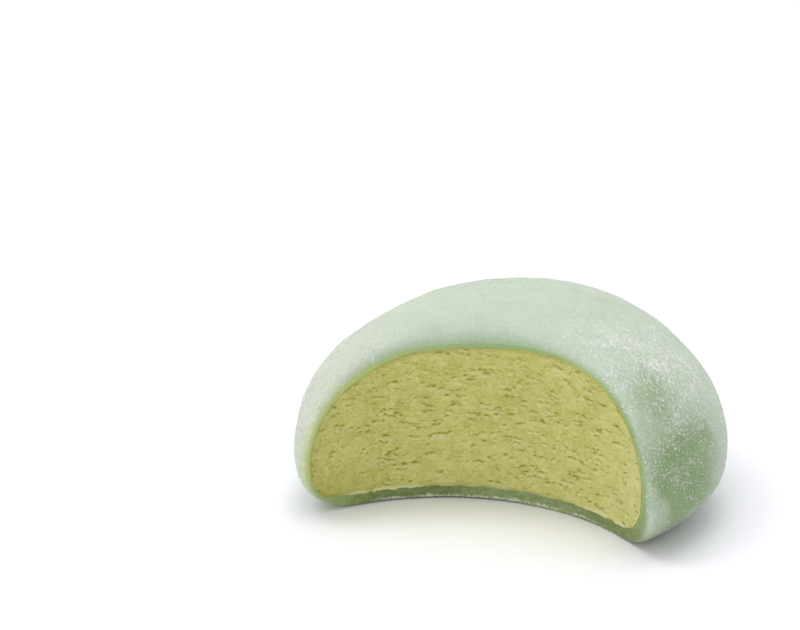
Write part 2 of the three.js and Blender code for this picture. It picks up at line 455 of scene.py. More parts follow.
def skin_grid():
    """Points of the skin for each turn, from the back outside over the lip to the back inside."""
    turn = np.arange(SKIN_AROUND) / SKIN_AROUND * 2 * math.pi
    inside = inner_surface()
    corner = surface_points(outer_surface, turn, last_tilt(outer_surface, turn, behind_cut))
    inner_tilt = last_tilt(inside, turn, behind_cut)
    inner_corner = surface_points(inside, turn, inner_tilt)
    reach = lip_reach(turn)

    def before_lip(points):
        return behind_cut(points) & (np.linalg.norm(points - corner, axis=-1) > reach)

    lip_tilt = last_tilt(outer_surface, turn, before_lip)
    lip_start = surface_points(outer_surface, turn, lip_tilt)
    edge = np.linalg.norm(corner - inner_corner, axis=-1)
    share = np.minimum(reach / edge, LIP_SHARE)[:, None]
    lip_end = on_cut(corner + (inner_corner - corner) * share)

    outer = surface_points(outer_surface, turn[:, None], lip_tilt[:, None] * rising(SKIN_OUTER_ROWS))
    lip = lip_rows(lip_start, corner, lip_end)
    cut = cut_rows(lip_end, inner_corner)
    for rows in (lip, cut):
        share = 1 - smooth_step(*UNDERCUT_TOP, rows[..., 2])
        share = share * (1 - smooth_step(*UNDERCUT_END, rows[..., 0]))
        rows[..., 1] += UNDERCUT * share * (np.sin(turn) < 0)[:, None]
    inner = surface_points(inside, turn[:, None], inner_tilt[:, None] * falling(SKIN_INNER_ROWS))
    return turn, outer, lip, cut, inner


def skin_relief(points):
    """Dents, crust and grit of the skin in millimetres, fading towards the foot."""
    total = sum(height * layered_noise(points, *noise) for height, noise in SKIN_RELIEF)
    return total * smooth_step(*RELIEF_RISE, points[:, 2])


def patches_at(points, patches):
    """The sum of soft patches at each point. Their outlines are as uneven as noise makes them."""
    shift = np.stack([layered_noise(points, *PATCH_NOISE, seed) for seed in PATCH_SEEDS], axis=-1)
    moved = points + PATCH_SHIFT * shift
    return sum(amount * near(moved, place, reach) for place, reach, amount in patches)


def powder_cover(points, bare):
    """How much starch lies on the skin."""
    worn = clouds(points, *WORN_CLOUDS) * smooth_step(*WORN_FROM_FRONT, points[:, 1])
    cover = COVER - patches_at(points, THIN_PATCHES) - WORN * worn
    cover = cover + COVER_UNEVENNESS * layered_noise(points, *COVER_NOISE)
    cover = cover * between((COVER_AT_FOOT, 1.0), smooth_step(*COVER_RISE, points[:, 2]))
    return np.clip(cover, LEAST_COVER, 1) * (1 - bare)


def lip_bareness(turn):
    """How bare the lip's rounding is at each turn: the starch ends late at the left and early low down."""
    across, up = np.cos(turn), np.sin(turn)
    top = np.where(across < 0, smooth_step(*TOP_FROM_LEFT, up), smooth_step(*TOP_FROM_RIGHT, up))
    left = smooth_step(*SIDEWARDS, -across) * smooth_step(*OFF_FOOT, up) * (1 - top)
    right = smooth_step(*SIDEWARDS, across) * smooth_step(*OFF_FOOT, up)
    high_right = right * smooth_step(*HIGH_RIGHT, up)
    foot = smooth_step(*FOOT_PART, -up)
    parts = np.stack((np.ones_like(turn), left, top, high_right, right - high_right, foot))
    begin, width, amount = (np.array(weights) @ parts for weights in (BARE_BEGIN, BARE_WIDTH, BARE_AMOUNT))
    return smooth_step(begin[:, None], (begin + width)[:, None], rising(SKIN_LIP_ROWS)) * amount[:, None]


def glow_at_edge(turn, from_rim):
    """How much the thin edge beside the cream lets light through, from each point's distance to the rim."""
    across, up = np.cos(turn), np.sin(turn)
    left_half = smooth_step(*GLOW_LEFT_HALF, -across)
    very_left = smooth_step(*GLOW_VERY_LEFT, -across)
    parts = np.stack((np.ones_like(turn), left_half, very_left, smooth_step(*GLOW_RIGHT, across)))
    strength = np.array(GLOW_STRENGTH) @ parts * smooth_step(*GLOW_RISE, up + GLOW_RISE_SHIFT * left_half)
    reach = np.array(GLOW_REACH) @ parts
    return strength[:, None] * (1 - smooth_step(0.0, reach[:, None], from_rim)) ** GLOW_FALL


def build_skin():
    """The skin's piece, and what the grains of starch on it need to know of its points."""
    turn, outer, lip, cut, inner = skin_grid()
    grid = np.concatenate((outer, lip, cut, inner), axis=1)
    rows = grid.shape[1]
    poles = surface_points(outer_surface, 0.0, 0.0), surface_points(inner_surface(), 0.0, 0.0)
    points = np.concatenate((poles[0][None], grid.reshape(-1, 3), poles[1][None]))
    index = closed(1 + np.arange(SKIN_AROUND * rows).reshape(SKIN_AROUND, rows))
    quads = grid_quads(index)
    ends = np.concatenate((fan(0, index[::-1, 0]), fan(len(points) - 1, index[:, -1])))

    def with_poles(values, back, front):
        """A number for each point, from numbers by turn and row or by row alone and one for each pole."""
        return np.concatenate(([back], np.broadcast_to(values, (SKIN_AROUND, rows)).ravel(), [front]))

    def by_kind(outside, rim, inside):
        """A number for each row: outside, on the lip and the cut, and inside."""
        counts = (SKIN_OUTER_ROWS, SKIN_LIP_ROWS + SKIN_CUT_ROWS, SKIN_INNER_ROWS)
        return np.repeat((outside, rim, inside), counts)

    bare = np.ones((SKIN_AROUND, rows))
    bare[:, :SKIN_OUTER_ROWS] = 0
    bare[:, SKIN_OUTER_ROWS : SKIN_OUTER_ROWS + SKIN_LIP_ROWS] = lip_bareness(turn)
    bare = with_poles(bare, 0, 1)
    glow = np.ones((SKIN_AROUND, rows))
    from_rim = np.linalg.norm(grid[:, :-SKIN_INNER_ROWS] - cut[:, -1:], axis=-1)
    glow[:, :-SKIN_INNER_ROWS] = glow_at_edge(turn, from_rim)
    glow = with_poles(glow, 0, 1)
    on_foot = smooth_step(*FOOT_EDGE_PART, -np.sin(turn))[:, None]
    foot_edge = with_poles(on_foot * by_kind(0, 1, 0), 0, 0)

    triangles = np.concatenate((quads[:, [0, 1, 2]], quads[:, [0, 2, 3]], ends))
    relief = skin_relief(points) * with_poles(by_kind(1, LIP_RELIEF_SHARE, 0), 1, 0)
    points = points + vertex_normals(triangles, points) * relief[:, None]
    points[:, 2] = np.maximum(points[:, 2], 0)
    frost = patches_at(points, FROST_PATCHES)
    attributes = {
        "powder": powder_cover(points, bare),
        "glow": glow,
        "frost": frost * (1 - bare) * (1 - glow),
        "streaked": near(points, FLAKE_PLACE, FLAKE_REACH) * (1 - bare),
        "foot_edge": foot_edge,
    }
    skin = new_mesh("rice_skin", points, (quads, ends), attributes)
    surface = {
        "points": points,
        "normals": vertex_normals(triangles, points),
        "quads": quads,
        "shown": with_poles(by_kind(1, 1, 0), 1, 0) * (1 - bare) * (1 - glow),
        "frost": frost,
        "foot_edge": foot_edge,
    }
    return skin, surface


# ---- the filling

# The cream reaches this far into the skin, so that no gap shows.
FILLING_OVERLAP = 0.05

# The ends of the face are looked for at these heights, lowest, highest and how many, and this far along.
FACE_END_HEIGHTS = (3.0, 10.0, 71)
FACE_END_REACH = SCOOP_RADIUS * 1.55

# Towards its ends the face's lower edge is torn, by up to this much.
TOWARDS_ENDS = (4.0, 14.0)
TORN = 0.16
TORN_CLOUDS = ((0.9, 3, 61), (0.0, 0.8))

# Broad swells and fine roughness of the face. Swells and pits fade out at the rim. Above the foot roughness
# doesn't stand out of the cut there, so no gap opens beside the skin.
BROAD = 0.16
BROAD_NOISE = ((6.0, 4.0, 1.0), 2, 91)
ROUGH = 0.12
ROUGH_NOISE = ((1.3, 0.6, 1.0), 4, 97)
FROM_RIM = (0.0, 0.8)
HELD_FROM_RIM = (0.1, 0.6)
HELD_HEIGHT = (1.5, 3.0)

# Crumbs of cream smeared over the band of dough below, fewer of them at the middle and the left end.
CRUMB_HEIGHT = 0.08
CRUMB_REACH = (0.05, 0.45)
SMEAR_NOISE = ((1.6, 0.8, 1.0), 3, 67)
SMEAR_RISE = 0.2
SMEAR_LIMITS = (-0.5, 0.3)
CRUMBS_AT_MIDDLE = 0.35
CRUMBS_AT_LEFT_END = 0.5
LEFT_END = (-20.0, -16.5)

# Chains of small pits: where they start, how they slope, their scale and how many pits follow the first.
CHAIN_COUNT = 1500
CHAIN_SEED = 77
CHAIN_ALONG = (-26, 26)
CHAIN_UP = (1.0, 20.0)
CHAIN_SLOPE = 0.12
CHAIN_SCALE = (0.42, 1.27)
CHAIN_SCALE_POWER = 2.6
CHAIN_FOLLOWERS = 0.7
CHAIN_STEP = (1.3, 2.4)
CHAIN_JUMP = 0.12
SMALL_TILT = 0.2

# Limits of the small pits' half length, half height and depth.
SMALL_LIMITS = ((0.18, 0.42), (0.075, 0.135), (0.1, 0.22))

# How pits are shifted, how they arch, and how far their marks go at most: in half lengths along, and up in
# millimetres and half heights.
PIT_SHIFTS = ((0.12, (0.5, 2, 71)), (0.08, ((0.4, 0.3, 1.0), 2, 83)))
PIT_ARCH = 0.25
PIT_REACH = (1.6, 0.2, 5)

# The marks of a pit: width, drop, extent above and below, where it fades and strength by the pit's depth.
# The shade and sill highlight marks are painted shade and a painted highlight in the cream's colour; only the
# depth is relief.
PIT_MARKS = {
    "depth": (1.0, 0.0, 0.9, 2.6, (0.1, 1.2), 0.46),
    "shade": (1.15, 0.0, 1.1, 1.5, (0.1, 1.15), 1 / 0.15),
    "sill_highlight": (1.3, 2.9, 1.9, 1.9, (0.1, 1.15), 1 / 0.2),
}


def draw_from(seed):
    """The part's small repeatable random draw between 0 and 1."""
    state = seed
    while True:
        state = (state * DRAW_FACTOR) % DRAW_MODULUS
        yield state / DRAW_MODULUS


def large_pits():
    """The pits that the part has too: place across, place up, half length, half height, depth and tilt."""
    draw = draw_from(PIT_SEED)
    outside = inner_surface(GAP)
    pits = []
    while len(pits) < PIT_COUNT:
        x = SCOOP_X + between((-1, 1), next(draw)) * SCOOP_RADIUS * PIT_SPREAD
        z = next(draw) * HEIGHT
        if outside(np.array([x, cut_y(x, z), z])) < -PIT_MARGIN:
            along = SCOOP_RADIUS * math.asin((x - SCOOP_X) / SCOOP_RADIUS)
            pits.append((along, z, *(between(limits, next(draw)) for limits in PIT_LIMITS)))
    return pits


def small_pits():
    """Chains of thin pits that run across the face."""
    rng = np.random.default_rng(CHAIN_SEED)
    pits = []
    for _ in range(CHAIN_COUNT):
        along, up = rng.uniform(*CHAIN_ALONG), rng.uniform(*CHAIN_UP)
        slope = rng.normal(0, CHAIN_SLOPE)
        scale = between(CHAIN_SCALE, rng.uniform() ** CHAIN_SCALE_POWER)
        for _ in range(1 + rng.poisson(CHAIN_FOLLOWERS)):
            length, height, depth = (scale * rng.uniform(*limits) for limits in SMALL_LIMITS)
            pits.append((along, up, length, height, depth, slope + rng.normal(0, SMALL_TILT)))
            along += length * rng.uniform(*CHAIN_STEP)
            up += length * slope + rng.normal(0, CHAIN_JUMP)
    return pits


def on_sheet(along, up):
    """Places on the face rolled out flat, for its noises."""
    along, up = np.broadcast_arrays(along, up)
    return np.stack((along, up, np.zeros(along.shape)), axis=-1)


def pit_relief(along, up):
    """Depth of the pits at each place in millimetres, how shaded they are and how much their sills are lit.

    A pit is an arch that is cut in sharply from above and comes out again on a long sill below."""
    place = on_sheet(along, up)
    shifts = (shift * layered_noise(place, *noise) for shift, noise in PIT_SHIFTS)
    along, up = along + next(shifts), up + next(shifts)
    marks = {name: np.zeros_like(along) for name in PIT_MARKS}
    for centre, level, length, height, deepest, tilt in large_pits() + small_pits():
        close_by = np.abs(along - centre) < PIT_REACH[0] * length
        spots = np.flatnonzero(close_by & (np.abs(up - level) < PIT_REACH[1] + PIT_REACH[2] * height))
        across, over = along[spots] - centre, up[spots] - level
        right = (across * math.cos(tilt) + over * math.sin(tilt)) / length
        above = (over * math.cos(tilt) - across * math.sin(tilt)) / height + PIT_ARCH * right**2
        for name, (width, drop, upper, lower, fade, strength) in PIT_MARKS.items():
            far = np.hypot(right / width, (above + drop) / np.where(above > 0, upper, lower))
            mark = min(strength * deepest, 1) * (1 - smooth_step(*fade, far))
            marks[name][spots] = np.maximum(marks[name][spots], mark)
    return marks


def face_points(along, up, sunk=0.0):
    """Points of the face from how far along and how high they are and how far they are sunk into it."""
    angle = along / SCOOP_RADIUS
    x = SCOOP_X + (SCOOP_RADIUS + sunk) * np.sin(angle)
    y = SCOOP_Y + (SCOOP_RADIUS + sunk) * np.cos(angle) + SCOOP_LEAN * up
    return np.stack((x, y, up), axis=-1)


def edge_height(inside, along, low, high):
    """The height at which each column of the face leaves the filling, from one in it to one out of it."""
    return farthest(low, np.full(along.shape, high), lambda height: inside(face_points(along, height)) < 0)


def face_end(inside, sign):
    """How far along the face runs to one side, and the height at which it runs farthest."""
    height = np.linspace(*FACE_END_HEIGHTS)
    out = np.full(height.shape, sign * FACE_END_REACH)
    reach = farthest(np.zeros(height.shape), out, lambda along: inside(face_points(along, height)) < 0)
    widest = np.argmax(np.abs(reach))
    return reach[widest], height[widest]


def face_relief(along, up, from_rim, over_edge):
    """How far each point of the face is sunk, and the numbers that its material needs."""
    place = on_sheet(along, up)
    marks = pit_relief(along, up)
    off_rim = smooth_step(*FROM_RIM, from_rim)
    broad = BROAD * layered_noise(place, *BROAD_NOISE)
    rough = ROUGH * layered_noise(place, *ROUGH_NOISE)
    held_back = (1 - smooth_step(*HELD_FROM_RIM, from_rim)) * smooth_step(*HELD_HEIGHT, up)
    rough = rough - np.minimum(rough, 0) * held_back
    smear = layered_noise(place, *SMEAR_NOISE)
    crumb = 1 - smooth_step(*CRUMB_REACH, over_edge - SMEAR_RISE * smear)
    crumb = crumb * smooth_step(*SMEAR_LIMITS, smear)
    crumb = crumb * between((CRUMBS_AT_MIDDLE, 1.0), smooth_step(*TOWARDS_ENDS, np.abs(along)))
    crumb = crumb * between((CRUMBS_AT_LEFT_END, 1.0), smooth_step(*LEFT_END, along))
    sunk = (marks.pop("depth") + broad) * off_rim + rough - CRUMB_HEIGHT * crumb
    return sunk, {**marks, "crumb": crumb, "rim": 1 - off_rim}


def build_filling():
    inside = inner_surface(-FILLING_OVERLAP)
    (left, left_height), (right, right_height) = face_end(inside, -1), face_end(inside, 1)
    along = np.linspace(left, right, FACE_COLUMNS + 1)[1:-1]
    middle = np.linspace(left_height, right_height, FACE_COLUMNS + 1)[1:-1]
    torn = smooth_step(*TOWARDS_ENDS, np.abs(along)) * clouds(on_sheet(along, 0.0), *TORN_CLOUDS)
    bottom = edge_height(inside, along, middle, 0.0) - TORN * torn
    height = edge_height(inside, along, middle, HEIGHT) - bottom
    share = np.linspace(0, 1, FACE_ROWS + 1)
    over_edge = height[:, None] * share
    under_edge = height[:, None] * (1 - share)
    from_end = np.minimum(along - left, right - along)[:, None]
    from_rim = np.minimum(np.minimum(over_edge, under_edge), from_end).ravel()

    along_all = np.repeat(along, FACE_ROWS + 1)
    up = (bottom[:, None] + over_edge).ravel()
    sunk, marks = face_relief(along_all, up, from_rim, over_edge.ravel())
    end_points = face_points(np.array([left, right]), np.array([left_height, right_height]))
    points = np.concatenate((end_points, face_points(along_all, up, sunk)))
    index = 2 + np.arange(len(up)).reshape(over_edge.shape)

    ring = np.concatenate(([0], index[:, 0], [1], index[::-1, -1]))
    rim = points[ring] - CORE
    turn = np.arctan2(rim[:, 2], rim[:, 0])
    tilt = np.arccos(rim[:, 1] / np.linalg.norm(rim, axis=1))
    back = surface_points(inside, turn[:, None], tilt[:, None] * falling(FILLING_BACK_ROWS))
    back_index = len(points) + np.arange(len(ring) * FILLING_BACK_ROWS).reshape(len(ring), -1)
    around = closed(np.concatenate((ring[:, None], back_index), axis=1))
    pole = surface_points(inside, 0.0, 0.0)
    points = np.concatenate((points, back.reshape(-1, 3), pole[None]))

    faces = (
        grid_quads(index),
        fan(0, index[0]),
        fan(1, index[-1, ::-1]),
        grid_quads(around.T),
        fan(len(points) - 1, around[::-1, -1]),
    )
    attributes = {}
    for key, values in marks.items():
        attributes[key] = np.full(len(points), 1.0 if key == "rim" else 0.0)
        attributes[key][index.ravel()] = values
    return new_mesh("frozen_cream", points, faces, attributes)


# ---- grains of starch

GRAIN_SEED = 2024
GRAIN_UNEVENNESS = (0.7, 1.15)
GRAINS_OFF_FOOT = (0.15, 0.6)
GRAIN_CLOUDS = ((1.6, 3, 5), (-0.5, 0.9))

# Round grains: how many, their radius, how strongly small ones prevail and how high they lie, in radii.
DUST = (20000, (0.02, 0.045), 1, 0.3)
COARSE = (8500, (0.035, 0.11), 5, 0.25)

# How densely they lie in general, dust in the patches of frost, and what is left between their clouds.
DUST_BASE = 0.3
DUST_IN_FROST = 0.5
DUST_BETWEEN = 0.3
COARSE_BASE = 0.04
COARSE_BETWEEN = 0.1

# The line of dust on the foot's edge: density, height, half width and where it ends at the right.
FOOT_LINE = 2.0
FOOT_LINE_HEIGHT = 0.38
FOOT_LINE_WIDTH = 0.18
FOOT_LINE_END = (8.0, 15.0)

# Flakes: how many, how they gather, and their half length, half width and half height.
FLAKE_COUNT = 1900
FLAKE_CLOUDS = ((1.8, 2, 9), (0.0, 0.8))
FLAKES_BETWEEN = 0.5
FLAKE_LENGTH = (0.06, 0.36)
FLAKE_LENGTH_POWER = 2
FLAKE_WIDTH = (0.02, 0.04)
FLAKE_HEIGHT = (0.03, 0.045)
FLAKE_STRAY = 0.1


def icosahedron():
    golden = (1 + math.sqrt(5)) / 2
    side = 2 / math.sqrt(1 + golden**2)
    corners = []
    for a, b in itertools.product((-1, 1), (-golden, golden)):
        corners += [(0, a, b), (a, b, 0), (b, 0, a)]
    corners = np.array(corners) / math.sqrt(1 + golden**2)
    faces = []
    for trio in itertools.combinations(range(len(corners)), 3):
        sides = [np.linalg.norm(corners[trio[k]] - corners[trio[k - 1]]) for k in range(3)]
        if np.allclose(sides, side):
            a, b, c = trio
            outward = np.cross(corners[b] - corners[a], corners[c] - corners[a]) @ corners[a] > 0
            faces.append((a, b, c) if outward else (a, c, b))
    return corners, np.array(faces)


def octahedron():
    corners = np.array([(1, 0, 0), (-1, 0, 0), (0, 1, 0), (0, -1, 0), (0, 0, 1), (0, 0, -1)], float)
    faces = [(0, 2, 4), (2, 1, 4), (1, 3, 4), (3, 0, 4), (2, 0, 5), (1, 2, 5), (3, 1, 5), (0, 3, 5)]
    return corners, np.array(faces)


def random_turns(rng, count):
    """Random rotation matrices."""
    w, x, y, z = unit(rng.normal(size=(count, 4))).T
    rows = (
        (1 - 2 * (y * y + z * z), 2 * (x * y - z * w), 2 * (x * z + y * w)),
        (2 * (x * y + z * w), 1 - 2 * (x * x + z * z), 2 * (y * z - x * w)),
        (2 * (x * z - y * w), 2 * (y * z + x * w), 1 - 2 * (x * x + y * y)),
    )
    return np.stack([np.stack(row, axis=-1) for row in rows], axis=1)


def scatter(name, shape, places, frames, rng):
    """Joins uneven copies of a small solid, one at each place, with its axes set by the frames' columns."""
    corners, faces = shape
    count = len(places)
    uneven = corners[None] * rng.uniform(*GRAIN_UNEVENNESS, (count, len(corners), 1))
    points = places[:, None] + np.einsum("nij,nkj->nki", frames, uneven)
    all_faces = faces[None] + (np.arange(count) * len(corners))[:, None, None]
    return new_mesh(name, points.reshape(-1, 3), all_faces)


def lying_frames(normals, lengths, widths, heights, rng):
    """Axes of flakes that lie flat on the normals and point along their course, give or take."""
    way = FLAKE_COURSE + rng.normal(0, FLAKE_STRAY, normals.shape)
    way = unit(way - normals * np.sum(way * normals, axis=1, keepdims=True))
    across = np.cross(normals, way)
    return np.stack((way * lengths[:, None], across * widths[:, None], normals * heights[:, None]), axis=-1)


def places_on(surface, density, count, rng):
    """Random places on the skin's quads, and the normals there, as likely as area times density."""
    quads = surface["quads"]
    corner = surface["points"][quads]
    area = np.linalg.norm(np.cross(corner[:, 2] - corner[:, 0], corner[:, 3] - corner[:, 1]), axis=1)
    weight = area * density[quads].mean(axis=1)
    chosen = rng.choice(len(quads), count, p=weight / weight.sum())
    a, b = rng.uniform(0, 1, (2, count, 1))
    spot = corner[chosen]
    place = (spot[:, 0] * (1 - a) + spot[:, 1] * a) * (1 - b) + (spot[:, 3] * (1 - a) + spot[:, 2] * a) * b
    return place, surface["normals"][quads[chosen, 0]]


def build_grains(surface):
    """Grains on the outside of the skin: fine dust all over, coarser grains in patches and flat flakes."""
    rng = np.random.default_rng(GRAIN_SEED)
    points, shown, frost = surface["points"], surface["shown"], surface["frost"]
    off_foot = smooth_step(*GRAINS_OFF_FOOT, points[:, 2]) * shown
    thick = clouds(points, *GRAIN_CLOUDS)
    from_line = (points[:, 2] - FOOT_LINE_HEIGHT) / FOOT_LINE_WIDTH
    foot_line = FOOT_LINE * surface["foot_edge"] * np.exp(-(from_line**2))
    foot_line = foot_line * (1 - smooth_step(*FOOT_LINE_END, points[:, 0]))

    def sizes(limits, power=1, count=FLAKE_COUNT):
        return between(limits, rng.uniform(0, 1, count) ** power)

    def strew(name, shape, density, kind):
        """Round grains of one kind, each sunk a little into the skin."""
        count, limits, power, rise = kind
        place, normal = places_on(surface, density, count, rng)
        radius = sizes(limits, power, count)
        frames = random_turns(rng, count) * radius[:, None, None]
        return scatter(name, shape, place + normal * (radius * rise)[:, None], frames, rng)

    density = off_foot * (DUST_BASE + DUST_IN_FROST * frost) * (DUST_BETWEEN + thick)
    dust = strew("starch_dust", octahedron(), density + foot_line, DUST)
    density = off_foot * (COARSE_BASE + frost) * (COARSE_BETWEEN + thick**2)
    grains = strew("starch_grains", icosahedron(), density, COARSE)

    gathered = clouds(points, *FLAKE_CLOUDS) + FLAKES_BETWEEN
    density = shown * near(points, FLAKE_PLACE, FLAKE_REACH) * gathered
    place, normal = places_on(surface, density, FLAKE_COUNT, rng)
    length = sizes(FLAKE_LENGTH, FLAKE_LENGTH_POWER)
    width = sizes(FLAKE_WIDTH)
    frames = lying_frames(normal, length, width, sizes(FLAKE_HEIGHT), rng)
    flakes = scatter("starch_flakes", icosahedron(), place, frames, rng)
    return dust, grains, flakes


# ---- materials


def srgb(*values):
    """A colour from its 0 to 255 screen values, in Blender's linear numbers."""
    shares = np.array(values) / 255
    linear = np.where(shares <= 0.04045, shares / 12.92, ((shares + 0.055) / 1.055) ** 2.4)
    return (*linear.tolist(), 1.0)


# Colours are pairs, dark and light. A zone's pair takes over between two places on an axis, in millimetres.
DOUGH = (srgb(134, 160, 106), srgb(150, 174, 124))
# Of these zones, the one at the right makes the dough darker: painted shade.
DOUGH_ZONES = (
    ("Y", -4.0, -7.0, (srgb(134, 164, 111), srgb(150, 179, 129))),
    ("X", 10.0, 16.0, (srgb(113, 138, 84), srgb(131, 156, 101))),
)
# Low down the dough is darker and browner: painted shade. Its zones darken it more left of the middle and at
# the right, also painted shade, and lighten it at the far left corner, painted light through the thin dough.
SHADED_LOW_DOUGH = (srgb(121, 137, 88), srgb(141, 157, 110))
LOW_DOUGH_ZONES = (
    ("X", -1.0, -8.0, (srgb(98, 114, 60), srgb(122, 138, 86))),
    ("X", 6.0, 12.0, (srgb(110, 122, 70), srgb(129, 141, 90))),
    ("X", -13.0, -17.0, (srgb(134, 154, 90), srgb(150, 170, 104))),
)
STARCH = (srgb(178, 191, 172), srgb(196, 206, 190))
EDGE_GLOW = (srgb(157, 173, 98), srgb(174, 184, 96))
LEFT_GLOW = (srgb(186, 198, 116), srgb(146, 166, 100))
CREAM = (srgb(200, 197, 108), srgb(216, 214, 135))
GRAIN = (srgb(196, 205, 193), srgb(226, 231, 224))
FLAKE = (srgb(240, 243, 239), srgb(252, 253, 251))
FLOOR = (srgb(241, 241, 247), srgb(245, 245, 250))


class Nodes:
    """A short way to write a material's node tree."""

    def __init__(self, name):
        self.material = bpy.data.materials.new(name)
        self.material.use_nodes = True
        self.tree = self.material.node_tree
        self.shader = self.tree.nodes["Principled BSDF"]
        self.place = self.node("ShaderNodeTexCoord", "Object")
        self.axes = {axis: self.node("ShaderNodeSeparateXYZ", axis, {"Vector": self.place}) for axis in "XYZ"}

    def node(self, kind, output, inputs=None, **settings):
        """Adds a node with its settings and inputs, and returns one of its outputs."""
        node = self.tree.nodes.new(kind)
        for key, value in settings.items():
            setattr(node, key, value)
        for key, value in (inputs or {}).items():
            self.put(node.inputs[key], value)
        return node.outputs[output]

    def put(self, socket, value):
        """Links an output to a socket, or sets the socket to a plain value."""
        if isinstance(value, bpy.types.NodeSocket):
            self.tree.links.new(value, socket)
        else:
            socket.default_value = value

    def attribute(self, name):
        return self.node("ShaderNodeAttribute", "Fac", attribute_name=name)

    def noise(self, size_mm, detail=3.0, roughness=0.5, turn=(0, 0, 0), stretch=None):
        """Noise between 0 and 1, with features of about size_mm. It is turned, then squeezed by stretch."""
        place = self.place
        if stretch:
            place = self.node("ShaderNodeMapping", "Vector", {"Vector": place, "Rotation": turn})
            place = self.node("ShaderNodeMapping", "Vector", {"Vector": place, "Scale": stretch})
        inputs = {"Vector": place, "Scale": 1 / (size_mm * MM), "Detail": detail, "Roughness": roughness}
        return self.node("ShaderNodeTexNoise", "Fac", inputs)

    def math(self, operation, *values, clamp=False):
        inputs = dict(enumerate(values))
        return self.node("ShaderNodeMath", "Value", inputs, operation=operation, use_clamp=clamp)

    def times(self, first, *others):
        """The product of all values."""
        for other in others:
            first = self.math("MULTIPLY", first, other)
        return first

    def scaled(self, share, low, high):
        """low where the share is 0 and high where it is 1."""
        return self.math("MULTIPLY_ADD", share, high - low, low)

    def ramp(self, value, low, high):
        """0 at low, 1 at high, smooth between."""
        inputs = {"Value": value, "From Min": low, "From Max": high}
        return self.node("ShaderNodeMapRange", "Result", inputs, interpolation_type="SMOOTHSTEP")

    def beyond(self, axis, start, end):
        """0 before the start on an axis, 1 past the end, smooth between. Both are in millimetres."""
        return self.ramp(self.axes[axis], start * MM, end * MM)

    def mix(self, share, first, second):
        """Blends two colours. The node's inputs 6 and 7 and its output 2 are those for colours."""
        return self.node("ShaderNodeMix", 2, {0: share, 6: first, 7: second}, data_type="RGBA")

    def zoned(self, share, pair, zones):
        """A colour from a dark and light pair, with the pairs of its zones."""
        colour = self.mix(share, *pair)
        for axis, start, end, zone_pair in zones:
            colour = self.mix(self.beyond(axis, start, end), colour, self.mix(share, *zone_pair))
        return colour

    def layered(self, colour, *layers):
        """A colour under layers of others, each with its share, strength and colour."""
        for share, strength, over in layers:
            colour = self.mix(self.times(share, strength), colour, over)
        return colour

    def bump(self, height, distance_mm):
        inputs = {"Height": height, "Distance": distance_mm * MM, "Strength": 1.0}
        return self.node("ShaderNodeBump", "Normal", inputs)

    def finish(self, colour, roughness, normal=None, specular=0.5, soft=None):
        """Sets the shader. soft is the weight, the radius for each colour and the scale in millimetres."""
        self.put(self.shader.inputs["Base Color"], colour)
        self.put(self.shader.inputs["Roughness"], roughness)
        self.put(self.shader.inputs["Specular IOR Level"], specular)
        if normal is not None:
            self.put(self.shader.inputs["Normal"], normal)
        if soft is not None:
            weight, radius, scale_mm = soft
            self.put(self.shader.inputs["Subsurface Weight"], weight)
            self.put(self.shader.inputs["Subsurface Radius"], radius)
            self.put(self.shader.inputs["Subsurface Scale"], scale_mm * MM)
        return self.material


def dough_colour(nodes, cloud):
    """Green dough, darker and browner low down and at the right as painted shade, lighter at the low left
    corner as painted light.
    """
    blotch = nodes.ramp(nodes.noise(0.6, detail=4.0, roughness=0.6), 0.35, 0.65)
    shaded_low_dough = nodes.zoned(blotch, SHADED_LOW_DOUGH, LOW_DOUGH_ZONES)
    return nodes.mix(nodes.beyond("Z", 1.5, 4.0), shaded_low_dough, nodes.zoned(cloud, DOUGH, DOUGH_ZONES))


def starch_colour(nodes, cloud):
    """Cool white starch, warmer at the front left."""
    front_left = nodes.times(nodes.beyond("X", -8.0, -20.0), nodes.beyond("Y", 0.0, -12.0))
    return nodes.mix(front_left, nodes.mix(cloud, *STARCH), srgb(201, 205, 190))


def glow_colour(nodes):
    """The thin edge beside the cream, where light comes through."""
    glow = nodes.mix(nodes.beyond("X", 4.0, 14.0), *EDGE_GLOW)
    left_glow = nodes.mix(nodes.beyond("Z", 5.5, 2.0), *LEFT_GLOW)
    return nodes.mix(nodes.beyond("X", -4.0, -15.0), glow, left_glow)


def starch_cover(nodes, powder):
    """Where starch hides the dough, in speckles where it is neither full nor bare."""
    speckle = nodes.math("SUBTRACT", nodes.noise(0.45, detail=5.0, roughness=0.7), 0.5)
    uneven = nodes.times(speckle, 3.4)
    part_bare = nodes.times(nodes.math("SUBTRACT", 1.1, powder), powder)
    return nodes.math("MULTIPLY_ADD", uneven, part_bare, powder, clamp=True)


def starch_specks(nodes, powder):
    """White specks, most of them in the patches of frost."""
    fine = nodes.noise(0.24, detail=3.0, roughness=0.6)
    gathered = nodes.ramp(nodes.noise(1.1, detail=3.0, roughness=0.6), 0.32, 0.6)
    thick = nodes.scaled(nodes.times(nodes.attribute("frost"), gathered), 0.18, 0.93)
    return nodes.times(nodes.ramp(fine, 0.5, 0.62), thick, powder)


def starch_streaks(nodes):
    """White streaks in bunches, along the flakes."""
    streak = nodes.noise(0.3, detail=3.0, roughness=0.65, turn=STREAK_TURN, stretch=(0.28, 2.0, 2.0))
    bunched = nodes.ramp(nodes.noise(1.2, detail=3.0), 0.25, 0.6)
    return nodes.times(nodes.ramp(streak, 0.5, 0.66), nodes.attribute("streaked"), bunched)


